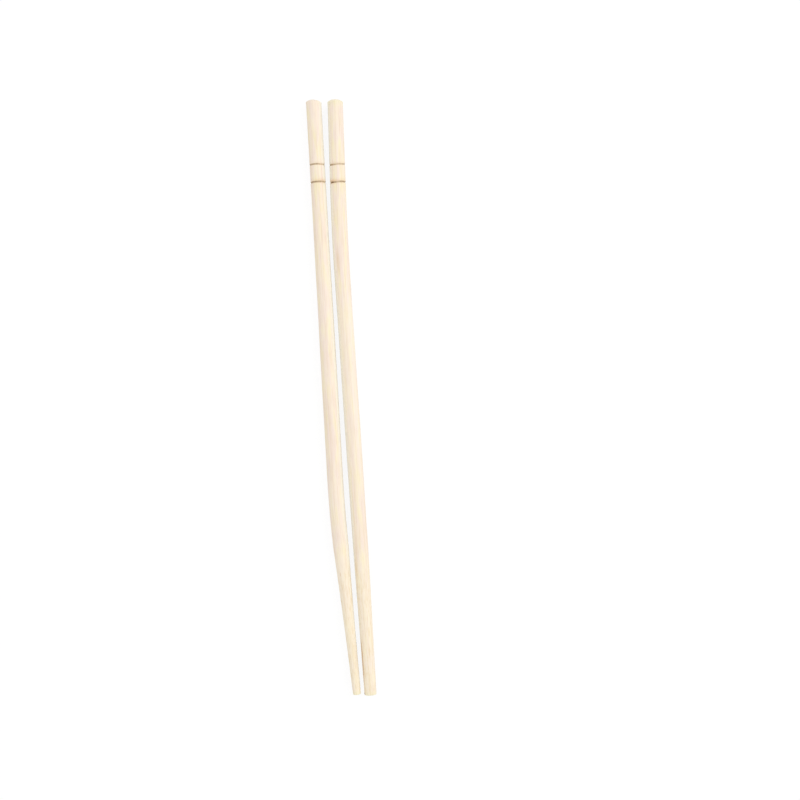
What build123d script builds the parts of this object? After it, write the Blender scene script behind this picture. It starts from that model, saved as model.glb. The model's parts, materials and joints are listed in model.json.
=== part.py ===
from build123d import *
import os
from math import asin, atan2, degrees, radians
from typing import NamedTuple

# A pair of round bamboo chopsticks, lying side by side on a table, in millimetres.
# Each is turned from one piece of bamboo: a crowned butt with two scorched ring grooves, a plain round
# body and a long taper to a flat tip. Each has also warped at one place, as such sticks do.
# +Y runs from the tips to the butts, +X from the left stick to the right one, and +Z is up.
# The origin is on the table, under the middle of the pair.

# Sizes of both sticks
stick_length = 210.0
body_diameter = 5.5
taper_length = 52.0
butt_crown_height = 1.0
butt_edge_radius = 0.45
tip_edge_radius = 0.3

# Ring grooves round the butt
groove_count = 2
butt_to_first_groove = 23.1
groove_spacing = 6.3
groove_width = 0.7
groove_depth = 0.18

# Tip and warp of the left stick, which bends just before its taper. The middle of its taper sinks
# inside a straight cone by the hollow.
left_tip_diameter = 2.8
left_taper_hollow = 0.15
left_bend_angle = 2.95
left_bend_length = 22.0
left_bend_to_taper = 2.0

# Tip and warp of the right stick, which bends just past its grooves and has a straight taper
right_tip_diameter = 4.2
right_bend_angle = 1.9
right_bend_length = 24.0
right_groove_to_bend = 6.0

# How the sticks lie: the gaps between them at the butts and where the tapers start,
# and how far the right one has slipped towards the tips
butt_gap = 2.1
shoulder_gap = 1.4
right_slip = 0.3

# Worked out from the sizes above
body_radius = body_diameter / 2
shoulder_distance = stick_length - taper_length
last_groove_distance = butt_to_first_groove + (groove_count - 1) * groove_spacing


class Stick(NamedTuple):
    """What differs between the two sticks, with distances along the stick from its butt."""

    tip_diameter: float
    bend_start: float
    bend_length: float
    bend_angle: float
    taper_hollow: float = 0

    @property
    def bend_radius(self):
        return self.bend_length / radians(self.bend_angle)

    @property
    def bend_end(self):
        return self.bend_start + self.bend_length


left_stick = Stick(
    tip_diameter=left_tip_diameter,
    bend_start=shoulder_distance - left_bend_to_taper - left_bend_length,
    bend_length=left_bend_length,
    bend_angle=left_bend_angle,
    taper_hollow=left_taper_hollow,
)
right_stick = Stick(
    tip_diameter=right_tip_diameter,
    bend_start=last_groove_distance + groove_width / 2 + right_groove_to_bend,
    bend_length=right_bend_length,
    bend_angle=right_bend_angle,
)


def turn(half_section):
    """The round solid of a half section, with its seam underneath, along the line that it rests on."""
    return revolve(Rot(Y=90) * half_section, Axis.Y)


def groove_section(distance):
    """The round bite that one ring groove takes out of the half section."""
    bite_radius = (groove_width**2 / 4 + groove_depth**2) / (2 * groove_depth)
    bite_centre = body_radius - groove_depth + bite_radius
    return Pos(bite_centre, -distance) * Circle(bite_radius)


def butt_stretch(length):
    """The straight stretch from the butt's end, at the origin, along -Y."""
    rim = (body_radius, -butt_crown_height)
    outline = Curve() + [
        TangentArc((0, 0), rim, tangent=(1, 0)),
        Polyline(rim, (body_radius, -length), (0, -length), (0, 0)),
    ]
    half_section = make_face(outline.edges())
    corner = half_section.vertices().sort_by_distance(rim)[0]
    half_section = fillet(corner, butt_edge_radius)
    for number in range(groove_count):
        half_section -= groove_section(butt_to_first_groove + number * groove_spacing)
    return turn(half_section)


def bent_stretch(stick):
    """The warped stretch, a round bar on an arc that leaves the butt stretch and turns to +X."""
    start = Plane((0, -stick.bend_start, 0), z_dir=(0, -1, 0))
    arc_axis = Axis((stick.bend_radius, -stick.bend_start, 0), (0, 0, 1))
    return revolve(start * Circle(body_radius), arc_axis, stick.bend_angle)


def past_bend(stick):
    """The place of the bend's far end, with -Y along the stick."""
    to_arc_centre = Pos(stick.bend_radius, -stick.bend_start)
    return to_arc_centre * Rot(Z=stick.bend_angle) * Pos(-stick.bend_radius, 0)


def taper_side(shoulder, rim, hollow):
    """The side of a taper from its shoulder to the tip's rim, straight where it has no hollow."""
    if hollow:
        return SagittaArc(shoulder, rim, -hollow)
    return Line(shoulder, rim)


def tip_stretch(stick):
    """The rest of the body and its taper, from the origin along -Y."""
    shoulder = (body_radius, stick.bend_end - shoulder_distance)
    end = stick.bend_end - stick_length
    rim = (stick.tip_diameter / 2, end)
    outline = Curve() + [
        Polyline((0, 0), (body_radius, 0), shoulder),
        taper_side(shoulder, rim, stick.taper_hollow),
        Polyline(rim, (0, end), (0, 0)),
    ]
    half_section = make_face(outline.edges())
    corner = half_section.vertices().sort_by_distance(rim)[0]
    return turn(fillet(corner, tip_edge_radius))


def make_stick(stick):
    """One whole stick in its own frame, with its butt's end at the origin."""
    return butt_stretch(stick.bend_start) + bent_stretch(stick) + past_bend(stick) * tip_stretch(stick)


def lay_stick(stick, side, slip):
    """The stick on the table, on the left (side -1) or the right (side 1) of the pair."""
    butt_x = side * (body_diameter + butt_gap) / 2
    shoulder_x = side * (body_diameter + shoulder_gap) / 2
    shoulder = (past_bend(stick) * Pos(0, stick.bend_end - shoulder_distance)).position
    lean_wanted = degrees(asin((shoulder_x - butt_x) / shoulder.length))
    lean_before = degrees(atan2(shoulder.X, -shoulder.Y))
    place = Pos(butt_x, stick_length / 2 - slip, body_radius)
    return place * Rot(Z=lean_wanted - lean_before) * make_stick(stick)


sticks = {
    "chopstick_left": lay_stick(left_stick, side=-1, slip=0),
    "chopstick_right": lay_stick(right_stick, side=1, slip=right_slip),
}
middle = Compound(list(sticks.values())).bounding_box().center()

os.makedirs("parts", exist_ok=True)
for node, shape in sticks.items():
    export_step(Pos(-middle.X, -middle.Y) * shape, f"parts/{node}.step")
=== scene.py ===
import json
import math
from typing import NamedTuple

import bpy
import numpy as np
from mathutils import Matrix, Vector


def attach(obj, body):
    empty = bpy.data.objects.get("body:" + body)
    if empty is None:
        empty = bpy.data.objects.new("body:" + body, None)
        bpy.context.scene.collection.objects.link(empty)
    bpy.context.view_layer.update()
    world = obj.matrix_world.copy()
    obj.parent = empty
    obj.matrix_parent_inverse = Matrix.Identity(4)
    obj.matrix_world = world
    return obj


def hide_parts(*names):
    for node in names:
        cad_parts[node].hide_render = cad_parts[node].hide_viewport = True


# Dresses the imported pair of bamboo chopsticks: a fine mesh for each stick, a bamboo material, and the
# studio. Lengths are in metres unless a comment says otherwise. +Y runs from the tips to the butts, +X to
# the right stick, +Z is up.

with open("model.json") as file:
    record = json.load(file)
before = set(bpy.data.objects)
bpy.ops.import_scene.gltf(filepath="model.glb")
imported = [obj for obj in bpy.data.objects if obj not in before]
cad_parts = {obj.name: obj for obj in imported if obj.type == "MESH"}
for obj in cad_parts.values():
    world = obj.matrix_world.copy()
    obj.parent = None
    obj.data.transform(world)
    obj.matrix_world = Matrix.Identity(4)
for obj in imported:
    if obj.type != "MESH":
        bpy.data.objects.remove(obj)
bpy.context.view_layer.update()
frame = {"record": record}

MM = 0.001

# Sizes of both sticks, as in the CAD part
STICK_LENGTH = 210 * MM
BODY_RADIUS = 2.75 * MM
TAPER_LENGTH = 52 * MM
BUTT_CROWN_HEIGHT = 1.0 * MM
BUTT_EDGE_RADIUS = 0.45 * MM
TIP_EDGE_RADIUS = 0.3 * MM
GROOVE_DISTANCES = (23.1 * MM, 29.4 * MM)
GROOVE_WIDTH = 0.7 * MM
GROOVE_DEPTH = 0.18 * MM
SHOULDER_DISTANCE = STICK_LENGTH - TAPER_LENGTH

# Fineness of the meshes
SEGMENTS = 128
ROW_STEP = 0.6 * MM
ARC_STEPS = 10
GROOVE_STEPS = 16
GROOVE_MARGIN = 0.9 * MM
MAP_COLUMNS = 4
MAP_GAP = 0.002

# Natural irregularity of turned bamboo: out of round, and waves along the stick
OVAL_SHARE = 0.006
WAVE_SHARE = 0.003
WAVE_LENGTH = 37 * MM

# A butt's lean fades out over this length. Under 1, the power brings a taper's hollow nearer its shoulder.
TILT_REACH = 6 * MM
HOLLOW_POWER = 0.8

# Each stick takes its grain from its own place in the patterns, at most this far across, along and up
GRAIN_SPREAD = (0.05, 0.5, 0.05)


class Groove(NamedTuple):
    """How burnt and how toasted one ring groove is, at even steps from the stick's +X side over its top.

    The burnt line lies past the groove's middle by the shift, and further on the +X side by the lean.
    """

    burns: tuple
    halos: tuple
    shift: float
    lean: float


class Mark(NamedTuple):
    """A darker mark on the stick, in millimetres and degrees, with its strength from 0 to 1.

    The distance is from the butt, and the angle is round the stick from the +X side over the top.
    """

    distance: float
    angle: float
    half_length: float
    half_width: float
    strength: float


class Stick(NamedTuple):
    """What differs between the two sticks, with distances along the stick from its butt.

    The bulges are pairs of a distance and what it adds to the radius, in millimetres. The painted light
    along the stick is given as pairs of a distance in millimetres and how much lighter the stick is painted
    there, from 0 to 1, where it is lit brighter. The painted light side is the angle of the side that faces
    the other stick, painted lighter against the shade of the gap, in degrees as a mark's.
    """

    node: str
    mount: str
    tip_radius: float
    bend_start: float
    bend_length: float
    bend_angle: float
    taper_hollow: float
    butt_tilt: float
    butt_tint: float
    bulges: tuple
    grooves: tuple
    marks: tuple
    painted_light_along: tuple
    painted_light_side: float
    seed: int


STICKS = (
    Stick(
        node="chopstick_left",
        mount="left_butt",
        tip_radius=1.4 * MM,
        bend_start=134 * MM,
        bend_length=22 * MM,
        bend_angle=math.radians(2.95),
        taper_hollow=0.16 * MM,
        butt_tilt=math.radians(5),
        butt_tint=0.0,
        bulges=((8, -0.07), (35, -0.1), (53, -0.1), (74, -0.06), (90, 0.03), (150, 0.04), (160, 0)),
        grooves=(
            Groove(
                burns=(0.5, 0.3, 0.5, 0.5, 0.6, 0.5, 0.4, 0.45),
                halos=(0.1, 0.1, 0.1, 0.05, 0.05, 0.1, 0.1, 0.1),
                shift=0,
                lean=0.06 * MM,
            ),
            Groove(
                burns=(0.35, 0.46, 0.58, 0.63, 0.72, 0.6, 0.5, 0.4),
                halos=(0.2, 0.45, 0.3, 0.15, 0.15, 0.2, 0.2, 0.2),
                shift=-0.14 * MM,
                lean=-0.04 * MM,
            ),
        ),
        marks=(
            Mark(distance=167.2, angle=118, half_length=0.9, half_width=0.22, strength=0.25),
            Mark(distance=178, angle=110, half_length=7, half_width=0.5, strength=0.14),
        ),
        # Painted light: stretches along the stick painted lighter where it is lit brighter
        painted_light_along=(
            *((50, 0), (60, 0.4), (75, 0.4), (90, 0), (125, 0)),
            *((137, 0.5), (160, 0.4), (172, 0.9), (186, 0.9), (196, 0)),
        ),
        painted_light_side=0,
        seed=11,
    ),
    Stick(
        node="chopstick_right",
        mount="right_butt",
        tip_radius=2.1 * MM,
        bend_start=35.75 * MM,
        bend_length=24 * MM,
        bend_angle=math.radians(1.9),
        taper_hollow=0,
        butt_tilt=math.radians(1),
        butt_tint=0.7,
        bulges=(
            *((8, -0.05), (33, 0.03), (50, 0.03), (80, -0.04)),
            *((105, -0.03), (115, 0), (135, -0.06), (156, -0.1)),
        ),
        grooves=(
            Groove(
                burns=(0.5, 0.42, 0.36, 0.66, 0.7, 0.55, 0.45, 0.5),
                halos=(0.1, 0.1, 0.1, 0.1, 0.1, 0.1, 0.1, 0.1),
                shift=0.14 * MM,
                lean=-0.1 * MM,
            ),
            Groove(
                burns=(0.5, 0.64, 0.42, 0.93, 0.15, 0.35, 0.5, 0.5),
                halos=(0.2, 0.2, 0.3, 0.7, 0.3, 0.3, 0.2, 0.2),
                shift=0.02 * MM,
                lean=-0.12 * MM,
            ),
        ),
        marks=(
            Mark(distance=56, angle=110, half_length=6, half_width=0.8, strength=0.2),
            Mark(distance=164, angle=140, half_length=12, half_width=0.5, strength=0.2),
            # The next two darken the side facing the left stick, near the tip
            Mark(distance=199, angle=150, half_length=9, half_width=0.6, strength=0.4),
            Mark(distance=209.4, angle=160, half_length=0.5, half_width=0.6, strength=0.8),
        ),
        # Painted light: stretches along the stick painted lighter where it is lit brighter
        painted_light_along=((62, 0), (77, 1), (98, 1), (118, 0.7), (142, 0.4), (150, 0)),
        painted_light_side=180,
        seed=23,
    ),
)

# Scorching: the burnt line in each groove and the toasted halo beside it, which lies nearer the butt
BURN_HALF_WIDTH = 0.33 * MM
HALO_HALF_WIDTH = 0.75 * MM
HALO_SHIFT = 0.3 * MM

# The burnt line wobbles along the stick and is unevenly burnt. Each is two ripples, of so many waves round
# the stick and so high.
WOBBLES = ((2, 0.05 * MM), (5, 0.03 * MM))
UNEVENNESSES = ((11, 0.03), (17, 0.03))

# How far from each end its yellow tint reaches, and how strong the tip's is
BUTT_TINT_REACH = 3.6 * MM
TIP_TINT_REACH = 1.8 * MM
TIP_TINT = 0.7

# The painted light on the side facing the other stick begins and is full where the cosine of the angle
# to its middle is this
PAINTED_LIGHT_SIDE_START = 0.58
PAINTED_LIGHT_SIDE_FULL = 0.84

# The photograph's camera looks straight down. Its image is 800 pixels wide, and the pair's middle is
# left of the image's middle.
IMAGE_PIXELS = 800
PIXEL_SIZE = 0.35229 * MM
CAMERA_ROLL = math.radians(-3.4)
CAMERA_OVER = (20.51 * MM, -2.19 * MM)
CAMERA_DISTANCE = 450 * MM
SENSOR_WIDTH = 36.0
CAMERA_CLIP = (0.01, 20.0)

# Studio. The camera sees a white floor with a share of its own shaded grey, the shadow, and a little light
# added, the lift.
WORLD_STRENGTH = 0.85
KEY_POWER = 8.5
KEY_SIZE = 1.0
KEY_PLACE = (1.2, 0.6, 1.3)
FLOOR_SIDE = 4.0
FLOOR_GREY = 0.85
FLOOR_SHADOW = 0.15
FLOOR_LIFT = 0.04


def mount_of(name):
    """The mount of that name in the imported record."""
    return next(m for m in frame["record"]["mounts"] if m["name"] == name)


def butt_place(stick):
    """The point where the stick's axis meets its butt's end, and the direction from there to the tip.

    The mount is the wall between the butt's rounded edge and the first groove.
    """
    mount = mount_of(stick.mount)
    to_butt = np.array(mount["axis"])
    wall_end = GROOVE_DISTANCES[0] - GROOVE_WIDTH / 2
    wall_middle = wall_end - mount["dims"]["length_mm"] * MM / 2
    return np.array(mount["pos_m"]) + to_butt * wall_middle, -to_butt


def turned(direction, angle):
    """The direction turned by these angles about +Z, one row for each."""
    x, y, z = direction
    cos, sin = np.cos(angle), np.sin(angle)
    return np.stack([x * cos - y * sin, x * sin + y * cos, z + 0 * cos], axis=1)


def spine(stick, distance):
    """Points on the stick's axis at these distances from the butt, and the direction to the tip there."""
    start, ahead = butt_place(stick)
    beside = turned(ahead, np.array([math.pi / 2]))[0]
    bend_radius = stick.bend_length / stick.bend_angle
    bend_end = stick.bend_start + stick.bend_length
    turn = np.clip(distance - stick.bend_start, 0, stick.bend_length) / bend_radius
    direction = turned(ahead, turn)
    points = (
        start
        + np.minimum(distance, stick.bend_start)[:, None] * ahead
        + bend_radius * (np.sin(turn)[:, None] * ahead + (1 - np.cos(turn))[:, None] * beside)
        + np.maximum(distance - bend_end, 0)[:, None] * direction
    )
    return points, direction


def arc(centre, radius, start, end, steps):
    """Points of an arc in the half section, as rows of distance and radius, for angles from the axis."""
    angles = np.linspace(start, end, steps + 1)
    return np.stack([centre[0] - radius * np.cos(angles), centre[1] + radius * np.sin(angles)], axis=1)


def butt_outline():
    """The crown and the rounded edge of the butt, from the axis to the wall."""
    crown_radius = (BODY_RADIUS**2 + BUTT_CROWN_HEIGHT**2) / (2 * BUTT_CROWN_HEIGHT)
    edge_axis_distance = BODY_RADIUS - BUTT_EDGE_RADIUS
    meeting_angle = math.asin(edge_axis_distance / (crown_radius - BUTT_EDGE_RADIUS))
    edge_distance = crown_radius - (crown_radius - BUTT_EDGE_RADIUS) * math.cos(meeting_angle)
    crown = arc((crown_radius, 0), crown_radius, 0, meeting_angle, ARC_STEPS)
    edge = arc((edge_distance, edge_axis_distance), BUTT_EDGE_RADIUS, meeting_angle, math.pi / 2, ARC_STEPS)
    return np.concatenate([crown, edge[1:]])


def taper_share(distance):
    """How far down the taper these distances are, from 0 at its shoulder to 1 at the tip."""
    return np.clip((distance - SHOULDER_DISTANCE) / TAPER_LENGTH, 0, 1)


def body_radius(stick, distance):
    """The stick's radius at these distances, with its bulges, its taper and its grooves."""
    places, extras = np.array(stick.bulges).T * MM
    radius = BODY_RADIUS + np.interp(distance, places, extras)
    share = taper_share(distance)
    hollow = stick.taper_hollow * np.sin(np.pi * share**HOLLOW_POWER)
    radius = radius * (1 - share) + stick.tip_radius * share - hollow
    bite_radius = (GROOVE_WIDTH**2 / 4 + GROOVE_DEPTH**2) / (2 * GROOVE_DEPTH)
    for groove in GROOVE_DISTANCES:
        beside = np.clip(np.abs(distance - groove) / bite_radius, 0, 1)
        bite = bite_radius * np.sqrt(1 - beside**2) - (bite_radius - GROOVE_DEPTH)
        radius = radius - np.maximum(bite, 0)
    return radius


def outline(stick):
    """The half section from the middle of the butt's end to the middle of the tip's end."""
    butt = butt_outline()
    tip_start = STICK_LENGTH - TIP_EDGE_RADIUS
    rows = np.arange(butt[-1, 0] + ROW_STEP, tip_start, ROW_STEP)
    near_groove = np.zeros(len(rows), bool)
    finer = []
    for groove in GROOVE_DISTANCES:
        near_groove |= np.abs(rows - groove) < GROOVE_MARGIN
        finer.append(np.linspace(groove - GROOVE_MARGIN, groove + GROOVE_MARGIN, 2 * GROOVE_STEPS + 1))
    distance = np.sort(np.concatenate([rows[~near_groove], *finer, [tip_start]]))
    body = np.stack([distance, body_radius(stick, distance)], axis=1)
    rim = body[-1, 1] - TIP_EDGE_RADIUS
    edge = arc((tip_start, rim), TIP_EDGE_RADIUS, math.pi / 2, math.pi, ARC_STEPS)
    face = np.stack([np.full(ARC_STEPS, STICK_LENGTH), np.linspace(rim, 0, ARC_STEPS + 1)[1:]], axis=1)
    return np.concatenate([butt, body, edge[1:], face])


def round_the_stick(values, angle):
    """The values at these angles, where they are given at even steps round the stick from its +X side."""
    places = np.linspace(0, 2 * np.pi, len(values) + 1)
    return np.interp(angle, places, values + values[:1])


def ripples(waves, phases, angle):
    """The sum of ripples round the stick, each with its number of waves, its height and its phase."""
    return sum(height * np.sin(count * angle + phase) for (count, height), phase in zip(waves, phases))


def scorch_of(stick, distance, angle):
    """How burnt and how toasted the surface is at each point, from 0 to 1."""
    burn, halo = np.zeros_like(angle), np.zeros_like(angle)
    rng = np.random.default_rng(stick.seed)
    for middle, groove in zip(GROOVE_DISTANCES, stick.grooves, strict=True):
        phases = rng.uniform(0, 2 * np.pi, len(WOBBLES) + len(UNEVENNESSES))
        wobble = ripples(WOBBLES, phases[: len(WOBBLES)], angle)
        uneven = ripples(UNEVENNESSES, phases[len(WOBBLES) :], angle)
        place = middle + groove.shift + groove.lean * np.cos(angle) + wobble
        strength = round_the_stick(groove.burns, angle) + uneven
        toasted = round_the_stick(groove.halos, angle)
        off = distance - place
        burn = np.maximum(burn, strength * np.exp(-((off / BURN_HALF_WIDTH) ** 4)))
        halo = np.maximum(halo, toasted * np.exp(-(((off + HALO_SHIFT) / HALO_HALF_WIDTH) ** 2)))
    return burn, halo


def marks_of(stick, distance, angle):
    """How strongly the stick's marks show at each point, from 0 to 1."""
    shown = np.zeros_like(angle)
    for mark in stick.marks:
        turn = (angle - math.radians(mark.angle) + np.pi) % (2 * np.pi) - np.pi
        along = (distance / MM - mark.distance) / mark.half_length
        across = turn * BODY_RADIUS / MM / mark.half_width
        shown = np.maximum(shown, mark.strength * np.exp(-(along**2) - across**2))
    return shown


def painted_light_along_of(stick, distance):
    """How much painted light lightens the stick at these distances, from 0 to 1."""
    return np.interp(distance / MM, *np.array(stick.painted_light_along).T)


def painted_light_side_of(stick, angle):
    """1 on the side facing the other stick, painted lighter against the gap's shade, and 0 elsewhere."""
    towards = np.cos(angle - math.radians(stick.painted_light_side))
    return np.clip((towards - PAINTED_LIGHT_SIDE_START) / (PAINTED_LIGHT_SIDE_FULL - PAINTED_LIGHT_SIDE_START), 0, 1)


def end_tint_of(stick, distance):
    """How yellow the ends are at these distances, from 0 to 1."""
    at_tip = TIP_TINT * np.clip(1 - (STICK_LENGTH - distance) / TIP_TINT_REACH, 0, 1)
    at_butt = np.clip(1 - distance / BUTT_TINT_REACH, 0, 1)
    return np.maximum(at_tip, stick.butt_tint * at_butt)


def end_face_of(distance):
    """1 on the end faces of the butt and the tip, and 0 on the side, at these distances."""
    at_butt = np.clip((BUTT_CROWN_HEIGHT - distance) / (BUTT_EDGE_RADIUS / 2), 0, 1)
    at_tip = np.clip((distance - STICK_LENGTH) / (TIP_EDGE_RADIUS / 2) + 1, 0, 1)
    return np.maximum(at_butt, at_tip)


def ring_faces(ring_count):
    """Quads between neighbouring rings, where the first and last ring close with a fan to a pole.

    The poles are the vertices 0 and 1, and the rings follow them. Each face comes with its row, and each
    corner with its row and its step round the ring, for the map.
    """
    steps = np.arange(SEGMENTS)
    after = (steps + 1) % SEGMENTS
    faces, corners = [], []
    for ring in range(ring_count - 1):
        first, second = 2 + ring * SEGMENTS, 2 + (ring + 1) * SEGMENTS
        faces += np.stack([first + steps, first + after, second + after, second + steps], 1).tolist()
        corners += [((ring + 1, j), (ring + 1, j + 1), (ring + 2, j + 1), (ring + 2, j)) for j in steps]
    last = 2 + (ring_count - 1) * SEGMENTS
    for j in steps:
        faces.append([0, 2 + after[j], 2 + j])
        corners.append(((0, j + 0.5), (1, j + 1), (1, j)))
        faces.append([1, last + j, last + after[j]])
        corners.append(((ring_count + 1, j + 0.5), (ring_count, j), (ring_count, j + 1)))
    return faces, corners


def lay_out_map(mesh, corners, rows):
    """A map of the surface cut into a few lengths side by side, so that a thin stick fills it."""
    along = np.concatenate([[0], np.cumsum(np.hypot(*np.diff(rows, axis=0).T))])
    column_length = along[-1] / MAP_COLUMNS
    column_width = 1 / MAP_COLUMNS
    layer = mesh.uv_layers.new(name="OFBake")
    places = []
    for face in corners:
        middle = sum(along[row] for row, _ in face) / len(face)
        column = min(int(middle / column_length), MAP_COLUMNS - 1)
        for row, step in face:
            u = (column + step / SEGMENTS) * column_width
            u += MAP_GAP * (1 - 2 * step / SEGMENTS)
            v = (along[row] - column * column_length) / column_length
            places += [u, MAP_GAP + v * (1 - 2 * MAP_GAP)]
    layer.uv.foreach_set("vector", places)


def add_attribute(mesh, name, kind, values):
    """Stores values for the material on the mesh's points."""
    attribute = mesh.attributes.new(name, kind, "POINT")
    attribute.data.foreach_set("vector" if kind == "FLOAT_VECTOR" else "value", np.ravel(values))


def stick_mesh(stick):
    """The stick's surface, with what its material reads at each point, such as the place in the grain."""
    rows = outline(stick)
    rings = rows[1:-1]
    distance = np.repeat(rings[:, 0], SEGMENTS)
    angle = np.tile(np.arange(SEGMENTS) * 2 * np.pi / SEGMENTS, len(rings))
    rng = np.random.default_rng(stick.seed)
    phases = rng.uniform(0, 2 * np.pi, 3)
    oval = OVAL_SHARE * np.cos(2 * angle + phases[0] + distance / WAVE_LENGTH / 4)
    wave = WAVE_SHARE * np.sin(2 * np.pi * distance / WAVE_LENGTH + phases[1] + np.cos(angle + phases[2]))
    radius = np.repeat(rings[:, 1], SEGMENTS) * (1 + oval + wave)

    def placed(distances, across, up):
        tilted = np.clip(1 - distances / TILT_REACH, 0, 1) * math.tan(stick.butt_tilt)
        points, ahead = spine(stick, distances + tilted * across)
        beside = np.stack([-ahead[:, 1], ahead[:, 0], 0 * ahead[:, 0]], axis=1)
        return points + across[:, None] * beside + up[:, None] * np.array([0, 0, 1.0])

    ends = rows[[0, -1], 0]
    across = np.concatenate([[0, 0], radius * np.cos(angle)])
    up = np.concatenate([[0, 0], radius * np.sin(angle)])
    distances = np.concatenate([ends, distance])
    points = placed(distances, across, up)
    points[:, 2] -= points[:, 2].min()
    faces, corners = ring_faces(len(rings))
    mesh = bpy.data.meshes.new(stick.node + "_visual")
    mesh.from_pydata(points.tolist(), [], faces)
    mesh.shade_smooth()
    lay_out_map(mesh, corners, rows)
    place = np.stack([across, distances, up], axis=1) + rng.uniform(-1, 1, 3) * np.array(GRAIN_SPREAD)
    add_attribute(mesh, "grain_place", "FLOAT_VECTOR", place)
    burn, halo = scorch_of(stick, distance, angle)
    mark = marks_of(stick, distance, angle) * (1 - end_face_of(distance))
    # Painted light on the side facing the other stick
    painted_light_side = painted_light_side_of(stick, angle) * (1 - end_face_of(distance))
    for name, values in (("burn", burn), ("halo", halo), ("mark", mark), ("painted_light_side", painted_light_side)):
        add_attribute(mesh, name, "FLOAT", np.concatenate([[0, 0], values]))
    add_attribute(mesh, "end_tint", "FLOAT", end_tint_of(stick, distances))
    add_attribute(mesh, "end_face", "FLOAT", end_face_of(distances))
    add_attribute(mesh, "taper", "FLOAT", taper_share(distances))
    # Painted light along the stick
    add_attribute(mesh, "painted_light_along", "FLOAT", painted_light_along_of(stick, distances))
    return mesh


def srgb(red, green, blue):
    """A colour as it looks on screen, from 0 to 255, as linear red, green, blue and alpha."""
    shares = [c / 255 for c in (red, green, blue)]
    return [c / 12.92 if c <= 0.04045 else ((c + 0.055) / 1.055) ** 2.4 for c in shares] + [1.0]


class Layer(NamedTuple):
    """A colour that is laid over the wood by a pattern.

    It starts to show where the pattern is at the start, and has its share where the pattern is full.
    """

    colour: list
    start: float = 0
    full: float = 1
    share: float = 1


# Layers of the stick's colour, in the order in which they are laid. Three of them are painted light:
# along the stick, on the side facing the other stick, and on the taper.
BLUSH = Layer(srgb(250, 231, 219), start=0.48, full=0.65, share=0.6)
# Painted light: lightens stretches along the stick that are lit brighter
ALONG_PAINTED_LIGHT = Layer(srgb(255, 244, 226), share=0.4)
STRAND = Layer(srgb(236, 216, 186), start=0.45, full=0.7, share=0.48)
# Painted light: lightens the side facing the other stick, against the shade of the gap between them
GAP_SIDE_PAINTED_LIGHT = Layer(srgb(254, 250, 236), share=0.88)
# Painted light: lightens the taper, standing in for the brighter, more even light on it
TAPER_PAINTED_LIGHT = Layer(srgb(255, 244, 219), full=0.15, share=0.45)
CUT_FIBRE = Layer(srgb(238, 216, 176), start=0.5, full=0.66, share=0.55)
FIBRE = Layer(srgb(236, 216, 186), start=0.35, full=0.8, share=0.3)
END_FACE = Layer(srgb(252, 245, 230), share=0.5)
BUNDLE = Layer(srgb(224, 196, 158), start=0.44, full=0.22)
PORE = Layer(srgb(210, 178, 138), start=0.2, full=0.06, share=0.3)

# How much of the bundles shows on the side and on an end face, and of the strands under the most
# painted light
BUNDLES_ON_SIDE = 0.25
BUNDLES_ON_END_FACE = 0.5
STRANDS_UNDER_PAINTED_LIGHT = 0.5

# The share of the taper from which on all cut fibres show
CUT_FIBRES_FULL = 0.3

# Colours that need no layer
END_TINT = srgb(246, 241, 200)
TOASTED = srgb(222, 172, 112)
BUNDLE_ON_END_FACE = srgb(196, 158, 112)

# Colours of the wood by its tone, and of a mark and of the burnt line by their strength
TONE_COLOURS = ((0.36, srgb(248, 231, 220)), (0.5, srgb(252, 238, 218)), (0.64, srgb(253, 241, 206)))
MARK_COLOURS = ((0.0, srgb(238, 214, 184)), (0.35, srgb(222, 190, 154)), (0.8, srgb(132, 94, 66)))
BURN_COLOURS = (
    (0.0, srgb(244, 228, 204)),
    (0.35, srgb(212, 190, 160)),
    (0.6, srgb(184, 159, 128)),
    (0.8, srgb(150, 118, 80)),
    (1.0, srgb(106, 76, 48)),
)

# A mark and a burnt line start to show at the first strength and hide the wood from the second one on
MARK_EDGE = (0.02, 0.3)
BURN_EDGE = (0.04, 0.35)

# Where the strands' pattern goes between these values, a mark's strength goes between these shares of itself
MARK_STRANDS = (0.25, 0.6)
MARK_SHARES = (0.4, 1.1)

# The grit leaves this share of the scorching, and adds this share of its own pattern
GRIT_LEAST = 0.75
GRIT_SHARE = 0.5

# Heights of the fibres and of the bundles' walls as shares of the bump's. The walls rise between these
# values of the bundles' pattern.
FIBRE_HEIGHT = 0.6
BUNDLE_HEIGHT = 0.4
BUNDLE_EDGE = (0.1, 0.3)
BUMP_HEIGHT = 0.03 * MM
BUMP_STRENGTH = 0.35

# Where the fibres' pattern goes between these values, the roughness goes between these
ROUGHNESS_FIBRES = (0.3, 0.8)
ROUGHNESS = (0.5, 0.68)
SPECULAR = 0.35


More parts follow.
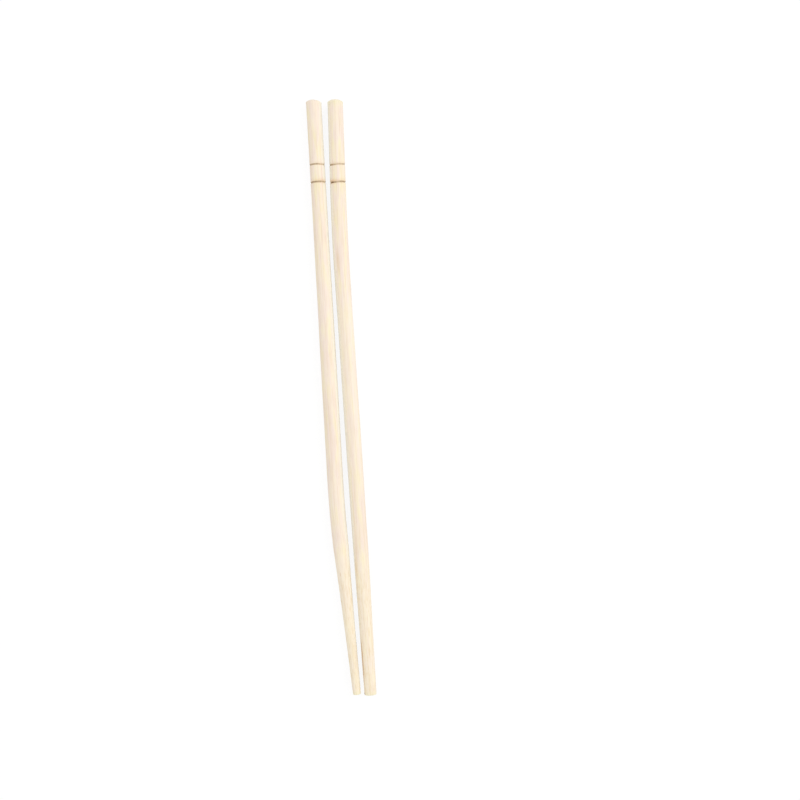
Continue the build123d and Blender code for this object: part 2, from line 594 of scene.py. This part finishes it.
class Nodes:
    """Short ways to add and link the nodes of one tree."""

    def __init__(self, tree):
        self.tree = tree
        tree.nodes.clear()

    def add(self, kind, **settings):
        node = self.tree.nodes.new(kind)
        for name, value in settings.items():
            setattr(node, name, value)
        return node

    def set_input(self, node, name, value):
        """Links an output to the input, or sets its value."""
        if isinstance(value, bpy.types.NodeSocket):
            self.tree.links.new(value, node.inputs[name])
        else:
            node.inputs[name].default_value = value

    def attribute(self, name, output="Fac"):
        return self.add("ShaderNodeAttribute", attribute_name=name).outputs[output]

    def grain(self, across, along):
        """The place in the grain, counted in this many cells per millimetre across and along the stick."""
        node = self.add("ShaderNodeVectorMath", operation="MULTIPLY")
        self.set_input(node, 0, self.attribute("grain_place", "Vector"))
        self.set_input(node, 1, (across / MM, along / MM, across / MM))
        return node.outputs["Vector"]

    def noise(self, vector, detail=2.0, roughness=0.5):
        node = self.add("ShaderNodeTexNoise")
        self.set_input(node, "Vector", vector)
        self.set_input(node, "Scale", 1.0)
        self.set_input(node, "Detail", detail)
        self.set_input(node, "Roughness", roughness)
        return node.outputs["Fac"]

    def cells(self, vector):
        node = self.add("ShaderNodeTexVoronoi")
        self.set_input(node, "Vector", vector)
        self.set_input(node, "Scale", 1.0)
        return node.outputs["Distance"]

    def math(self, operation, *values):
        node = self.add("ShaderNodeMath", operation=operation)
        for index, value in enumerate(values):
            self.set_input(node, index, value)
        return node.outputs["Value"]

    def ranged(self, value, low, high, to_low=0.0, to_high=1.0):
        node = self.add("ShaderNodeMapRange", interpolation_type="SMOOTHSTEP")
        for name, number in zip(("From Min", "From Max", "To Min", "To Max"), (low, high, to_low, to_high)):
            self.set_input(node, name, number)
        self.set_input(node, "Value", value)
        return node.outputs["Result"]

    def mixed(self, share, first, second):
        node = self.add("ShaderNodeMix", data_type="RGBA")
        colour_inputs = [s for s in node.inputs if s.type == "RGBA"]
        self.set_input(node, 0, share)
        for socket, value in zip(colour_inputs, (first, second), strict=True):
            if isinstance(value, bpy.types.NodeSocket):
                self.tree.links.new(value, socket)
            else:
                socket.default_value = value
        return next(s for s in node.outputs if s.type == "RGBA")

    def laid(self, colour, layer, pattern, factor=1.0):
        """The colour with the layer over it, as far as the pattern and the factor show it."""
        shown = self.ranged(pattern, layer.start, layer.full, 0, layer.share)
        return self.mixed(self.math("MULTIPLY", shown, factor), colour, layer.colour)

    def ramp(self, value, *stops):
        node = self.add("ShaderNodeValToRGB")
        elements = node.color_ramp.elements
        while len(elements) < len(stops):
            elements.new(0.5)
        for element, (place, colour) in zip(elements, stops, strict=True):
            element.position = place
            element.color = colour
        self.set_input(node, "Fac", value)
        return node.outputs["Color"]


class Grain(NamedTuple):
    """The patterns that the bamboo's colour and its finish are made of."""

    tone: object
    blush: object
    fibre: object
    strand: object
    nick: object
    bundle: object
    pore: object
    grit: object


def make_grain(nodes):
    """The patterns, all drawn out along the stick."""
    return Grain(
        tone=nodes.noise(nodes.grain(across=0.8, along=0.11), detail=3.0),
        blush=nodes.noise(nodes.grain(across=0.4, along=0.08)),
        fibre=nodes.noise(nodes.grain(across=9, along=0.09), detail=4.0, roughness=0.65),
        strand=nodes.noise(nodes.grain(across=2.2, along=0.12), detail=3.0),
        nick=nodes.noise(nodes.grain(across=3, along=0.35)),
        bundle=nodes.cells(nodes.grain(across=3.2, along=0.012)),
        pore=nodes.cells(nodes.grain(across=4.5, along=0.22)),
        grit=nodes.noise(nodes.grain(across=6, along=3), detail=3.0),
    )


def side_colour(nodes, grain):
    """The side's colour under its fibres, with painted light along it, on its gap side and on its taper."""
    painted_light_along = nodes.attribute("painted_light_along")
    taper = nodes.attribute("taper")
    strands_shown = nodes.ranged(painted_light_along, 0, 1, 1, STRANDS_UNDER_PAINTED_LIGHT)
    cut_fibres_shown = nodes.ranged(taper, 0, CUT_FIBRES_FULL)
    colour = nodes.ramp(grain.tone, *TONE_COLOURS)
    colour = nodes.laid(colour, BLUSH, grain.blush)
    # Painted light along the stick
    colour = nodes.laid(colour, ALONG_PAINTED_LIGHT, painted_light_along)
    colour = nodes.laid(colour, STRAND, grain.strand, strands_shown)
    # Painted light on the side facing the other stick
    colour = nodes.laid(colour, GAP_SIDE_PAINTED_LIGHT, nodes.attribute("painted_light_side"))
    # Painted light on the taper
    colour = nodes.laid(colour, TAPER_PAINTED_LIGHT, taper)
    return nodes.laid(colour, CUT_FIBRE, grain.nick, cut_fibres_shown)


def wood_colour(nodes, grain):
    """The colour of the unmarked wood, on the side and on the end faces, where bundles show as specks."""
    end_face = nodes.attribute("end_face")
    bundles_shown = nodes.ranged(end_face, 0, 1, BUNDLES_ON_SIDE, BUNDLES_ON_END_FACE)
    bundle = BUNDLE._replace(colour=nodes.mixed(end_face, BUNDLE.colour, BUNDLE_ON_END_FACE))
    colour = nodes.mixed(nodes.attribute("end_tint"), side_colour(nodes, grain), END_TINT)
    colour = nodes.laid(colour, FIBRE, grain.fibre)
    colour = nodes.laid(colour, END_FACE, end_face)
    colour = nodes.laid(colour, bundle, grain.bundle, bundles_shown)
    return nodes.laid(colour, PORE, grain.pore)


def marked(nodes, grain, colour):
    """The colour with the darker marks, which the strands break up."""
    streaks = nodes.ranged(grain.strand, *MARK_STRANDS, *MARK_SHARES)
    mark = nodes.math("MULTIPLY", nodes.attribute("mark"), streaks)
    return nodes.mixed(nodes.ranged(mark, *MARK_EDGE), colour, nodes.ramp(mark, *MARK_COLOURS))


def scorched(nodes, grain, colour):
    """The colour with the toasted halo and the burnt line of each groove, both a little gritty."""
    grit = nodes.math("MULTIPLY_ADD", grain.grit, GRIT_SHARE, GRIT_LEAST)
    halo = nodes.math("MULTIPLY", nodes.attribute("halo"), grit)
    burn = nodes.math("MULTIPLY", nodes.attribute("burn"), grit)
    colour = nodes.mixed(halo, colour, TOASTED)
    return nodes.mixed(nodes.ranged(burn, *BURN_EDGE), colour, nodes.ramp(burn, *BURN_COLOURS))


def grain_bump(nodes, grain):
    """The normal of a surface on which the fibres stand up and the bundles are sunk."""
    fibres = nodes.math("MULTIPLY", grain.fibre, FIBRE_HEIGHT)
    bundles = nodes.ranged(grain.bundle, *BUNDLE_EDGE, 0, BUNDLE_HEIGHT)
    bump = nodes.add("ShaderNodeBump")
    nodes.set_input(bump, "Height", nodes.math("ADD", fibres, bundles))
    nodes.set_input(bump, "Strength", BUMP_STRENGTH)
    nodes.set_input(bump, "Distance", BUMP_HEIGHT)
    return bump.outputs["Normal"]


def bamboo_material():
    """Pale bamboo with its grain along the stick, its marks and its scorched grooves."""
    material = bpy.data.materials.new("bamboo")
    material.use_nodes = True
    nodes = Nodes(material.node_tree)
    grain = make_grain(nodes)
    colour = scorched(nodes, grain, marked(nodes, grain, wood_colour(nodes, grain)))
    shader = nodes.add("ShaderNodeBsdfPrincipled")
    nodes.set_input(shader, "Base Color", colour)
    nodes.set_input(shader, "Roughness", nodes.ranged(grain.fibre, *ROUGHNESS_FIBRES, *ROUGHNESS))
    nodes.set_input(shader, "Normal", grain_bump(nodes, grain))
    nodes.set_input(shader, "Specular IOR Level", SPECULAR)
    output = nodes.add("ShaderNodeOutputMaterial")
    nodes.set_input(output, "Surface", shader.outputs["BSDF"])
    return material


def make_stick(stick, material):
    """Puts the finished stick in place of its CAD node."""
    mesh = stick_mesh(stick)
    mesh.materials.append(material)
    piece = bpy.data.objects.new(stick.node + "_visual", mesh)
    bpy.context.scene.collection.objects.link(piece)
    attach(piece, "root")
    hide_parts(stick.node)


def shown_ray(nodes):
    """1 where a ray comes from the camera, a reflection or glass."""
    light_path = nodes.add("ShaderNodeLightPath")
    rays = light_path.outputs
    shown = nodes.math("MAXIMUM", rays["Is Camera Ray"], rays["Is Glossy Ray"])
    return nodes.math("MAXIMUM", shown, rays["Is Transmission Ray"])


def make_floor():
    """A white floor that keeps a pale shadow."""
    half = FLOOR_SIDE / 2
    corners = [(-half, -half, 0), (half, -half, 0), (half, half, 0), (-half, half, 0)]
    mesh = bpy.data.meshes.new("floor")
    mesh.from_pydata(corners, [], [range(len(corners))])
    floor = bpy.data.objects.new("floor", mesh)
    bpy.context.scene.collection.objects.link(floor)
    material = bpy.data.materials.new("floor")
    material.use_nodes = True
    nodes = Nodes(material.node_tree)
    matt = nodes.add("ShaderNodeBsdfDiffuse")
    nodes.set_input(matt, "Color", (FLOOR_GREY, FLOOR_GREY, FLOOR_GREY, 1))
    white = nodes.add("ShaderNodeEmission")
    nodes.set_input(white, "Strength", 1.0)
    lifted = nodes.add("ShaderNodeMixShader")
    nodes.set_input(lifted, 0, 1 - FLOOR_SHADOW)
    nodes.set_input(lifted, 1, matt.outputs[0])
    nodes.set_input(lifted, 2, white.outputs[0])
    added = nodes.add("ShaderNodeAddShader")
    faint = nodes.add("ShaderNodeEmission")
    nodes.set_input(faint, "Strength", FLOOR_LIFT)
    nodes.set_input(added, 0, lifted.outputs[0])
    nodes.set_input(added, 1, faint.outputs[0])
    mix = nodes.add("ShaderNodeMixShader")
    nodes.set_input(mix, 0, shown_ray(nodes))
    nodes.set_input(mix, 1, matt.outputs[0])
    nodes.set_input(mix, 2, added.outputs[0])
    output = nodes.add("ShaderNodeOutputMaterial")
    nodes.set_input(output, "Surface", mix.outputs[0])
    mesh.materials.append(material)


def make_world():
    """White to look at, and a plain even light."""
    world = bpy.data.worlds.new("studio")
    world.use_nodes = True
    bpy.context.scene.world = world
    nodes = Nodes(world.node_tree)
    light = nodes.add("ShaderNodeBackground")
    nodes.set_input(light, "Color", (1, 1, 1, 1))
    nodes.set_input(light, "Strength", WORLD_STRENGTH)
    seen = nodes.add("ShaderNodeBackground")
    nodes.set_input(seen, "Color", (1, 1, 1, 1))
    nodes.set_input(seen, "Strength", 1.0)
    mix = nodes.add("ShaderNodeMixShader")
    nodes.set_input(mix, 0, shown_ray(nodes))
    nodes.set_input(mix, 1, light.outputs[0])
    nodes.set_input(mix, 2, seen.outputs[0])
    output = nodes.add("ShaderNodeOutputWorld")
    nodes.set_input(output, "Surface", mix.outputs[0])


def make_key_light():
    """A soft lamp on the right, which leaves the sticks' left sides a little darker."""
    data = bpy.data.lights.new("key", "AREA")
    data.energy = KEY_POWER
    data.size = KEY_SIZE
    lamp = bpy.data.objects.new("key", data)
    bpy.context.scene.collection.objects.link(lamp)
    lamp.location = KEY_PLACE
    lamp.rotation_euler = (-Vector(KEY_PLACE)).to_track_quat("-Z", "Y").to_euler()


def make_camera():
    """The photograph's camera, straight above the sticks."""
    data = bpy.data.cameras.new("camera")
    data.sensor_width = SENSOR_WIDTH
    data.lens = SENSOR_WIDTH * CAMERA_DISTANCE / (IMAGE_PIXELS * PIXEL_SIZE)
    data.clip_start, data.clip_end = CAMERA_CLIP
    camera = bpy.data.objects.new("camera", data)
    camera.location = (*CAMERA_OVER, BODY_RADIUS + CAMERA_DISTANCE)
    camera.rotation_euler = (0, 0, CAMERA_ROLL)
    bpy.context.scene.collection.objects.link(camera)
    bpy.context.scene.camera = camera


bpy.context.scene.view_settings.view_transform = "Standard"
bamboo = bamboo_material()
for stick in STICKS:
    make_stick(stick, bamboo)
make_floor()
make_world()
make_key_light()
make_camera()
